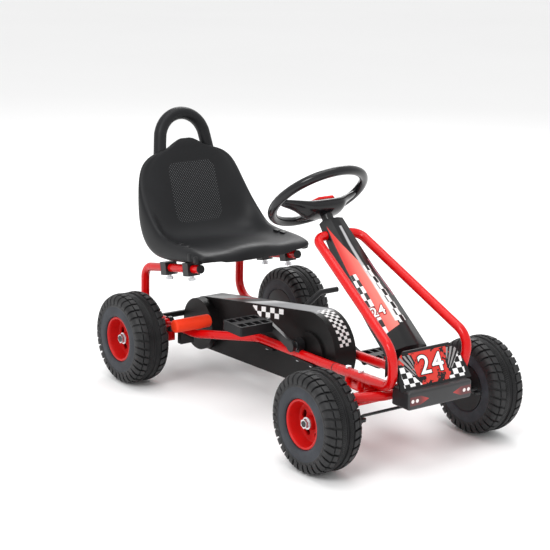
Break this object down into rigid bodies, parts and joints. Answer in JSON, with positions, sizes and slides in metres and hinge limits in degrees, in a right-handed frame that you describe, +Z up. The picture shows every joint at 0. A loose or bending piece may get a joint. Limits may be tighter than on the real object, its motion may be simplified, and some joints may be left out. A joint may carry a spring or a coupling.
{
  "type": "pedal go kart",
  "caption": "Child's pedal go kart: bent tube frame, moulded bucket seat, steered front wheels, chain driven rear axle, crank with pedals, hand brake and covers.",
  "frame": {"origin": "on the floor, midway between the axles, in the middle of the width", "axes": "+Y to the rear of the kart (it faces -Y), +X to its own left, +Z up"},
  "size_m": [0.5218, 0.9437, 0.574],
  "materials": {
    "red_paint": "gloss powder coat",
    "red_hub": "moulded, semi gloss",
    "grip_red": "matte moulded grip",
    "black_plastic": "satin grained moulding",
    "black_gloss": "gloss moulding",
    "black_paint": "satin paint",
    "tyre": "matte, faint blue grey",
    "bolt_steel": "zinc plated",
    "chain_steel": "oiled",
    "printed": "printed decal under gloss"
  },
  "bodies": {
    "frame": {"rail_left": "red_paint", "rail_right": "red_paint", "seat_tube_left": "red_paint", "seat_tube_right": "red_paint", "hoop_left": "red_paint", "hoop_right": "red_paint", "head_tube": "red_paint", "hoop_brackets": "red_paint", "hoop_bolts": "bolt_steel", "tube_plugs": "black_plastic", "front_beam": "red_paint", "axle_plate": "red_paint", "rail_feet": "red_paint", "column_bushings": "black_plastic", "bumper": "printed", "fairing": "printed", "shroud": "printed", "rear_crossmember": "black_paint", "rear_brackets": "red_paint", "crank_brackets": "black_paint", "bearings": "bolt_steel", "cover_left": "printed", "cover_right": "printed", "cover_screws": "bolt_steel", "chain": "chain_steel", "brake_bracket": "black_paint", "shift_bracket": "red_paint"},
    "steering": {"steering_column": "black_paint", "steering_wheel": "black_gloss", "steering_cap": "red_hub"},
    "knuckle_l": {"knuckle_left": "black_paint", "knuckle_nuts_left": "bolt_steel"},
    "knuckle_r": {"knuckle_right": "black_paint", "knuckle_nuts_right": "bolt_steel"},
    "rod_l": {"tie_rod_left": "black_paint"},
    "rod_r": {"tie_rod_right": "black_paint"},
    "front_wheel_l": {"front_tyre_left": "tyre", "front_hub_left": "red_hub"},
    "front_wheel_r": {"front_tyre_right": "tyre", "front_hub_right": "red_hub"},
    "rear_drive": {"rear_axle": "black_paint", "sprocket": "chain_steel", "rear_nuts": "bolt_steel", "rear_tyre_left": "tyre", "rear_hub_left": "red_hub", "rear_tyre_right": "tyre", "rear_hub_right": "red_hub"},
    "crankset": {"crank": "black_paint", "chainring": "chain_steel"},
    "pedal_l": {"pedal_left": "black_plastic"},
    "pedal_r": {"pedal_right": "black_plastic"},
    "brake": {"brake_lever": "red_paint", "brake_grip": "grip_red"},
    "shift": {"shift_lever": "black_plastic"},
    "seat_body": {"seat": "black_plastic", "seat_clamps": "black_paint", "seat_knobs": "bolt_steel"}
  },
  "joints": [
    {"name": "steering_turn", "type": "hinge", "parent": "frame", "child": "steering", "pos_m": [0, -0.043, 0.4616], "axis": [0, 0.6626, 0.749], "range_deg": [-38, 38]},
    {"name": "knuckle_turn_l", "type": "hinge", "parent": "frame", "child": "knuckle_l", "pos_m": [0.148, -0.3275, 0.1], "axis": [0, 0, 1], "range_deg": [-25.01, 25.01]},
    {"name": "knuckle_turn_r", "type": "hinge", "parent": "frame", "child": "knuckle_r", "pos_m": [-0.148, -0.3275, 0.1], "axis": [0, 0, 1], "range_deg": [-25.01, 25.01]},
    {"name": "tie_rod_turn_l", "type": "hinge", "parent": "knuckle_l", "child": "rod_l", "pos_m": [0.148, -0.3885, 0.117], "axis": [0, 0, 1], "range_deg": [-25.01, 25.01]},
    {"name": "tie_rod_turn_r", "type": "hinge", "parent": "knuckle_r", "child": "rod_r", "pos_m": [-0.148, -0.3885, 0.117], "axis": [0, 0, 1], "range_deg": [-25.01, 25.01]},
    {"name": "front_wheel_spin_l", "type": "hinge", "parent": "knuckle_l", "child": "front_wheel_l", "pos_m": [0.2077, -0.3275, 0.1], "axis": [1, 0, 0], "continuous": true},
    {"name": "front_wheel_spin_r", "type": "hinge", "parent": "knuckle_r", "child": "front_wheel_r", "pos_m": [-0.2077, -0.3275, 0.1], "axis": [1, 0, 0], "continuous": true},
    {"name": "rear_axle_spin", "type": "hinge", "parent": "frame", "child": "rear_drive", "pos_m": [0, 0.3275, 0.1], "axis": [1, 0, 0], "continuous": true},
    {"name": "crank_spin", "type": "hinge", "parent": "frame", "child": "crankset", "pos_m": [0, -0.05, 0.152], "axis": [1, 0, 0], "continuous": true},
    {"name": "pedal_spin_l", "type": "hinge", "parent": "crankset", "child": "pedal_l", "pos_m": [0.11, -0.13699, 0.12205], "axis": [1, 0, 0], "continuous": true},
    {"name": "pedal_spin_r", "type": "hinge", "parent": "crankset", "child": "pedal_r", "pos_m": [-0.11, 0.03699, 0.18195], "axis": [1, 0, 0], "continuous": true},
    {"name": "brake_pull", "type": "hinge", "parent": "frame", "child": "brake", "pos_m": [-0.151, 0.3, 0.128], "axis": [-1, 0, 0], "range_deg": [0, 25]},
    {"name": "shift_swing", "type": "hinge", "parent": "frame", "child": "shift", "pos_m": [0.0735, 0.114, 0.142], "axis": [1, 0, 0], "range_deg": [-15, 15]},
    {"name": "seat_slide", "type": "slide", "parent": "frame", "child": "seat_body", "axis": [0, -0.9823, 0.1874], "range_m": [-0.03, 0.02]}
  ],
  "couplings": [
    {"joint": "knuckle_turn_l", "follows": "steering_turn", "ratio": 0.6579},
    {"joint": "knuckle_turn_r", "follows": "steering_turn", "ratio": 0.6579},
    {"joint": "tie_rod_turn_l", "follows": "steering_turn", "ratio": -0.6579},
    {"joint": "tie_rod_turn_r", "follows": "steering_turn", "ratio": -0.6579},
    {"joint": "crank_spin", "follows": "rear_axle_spin", "ratio": 0.57143}
  ]
}
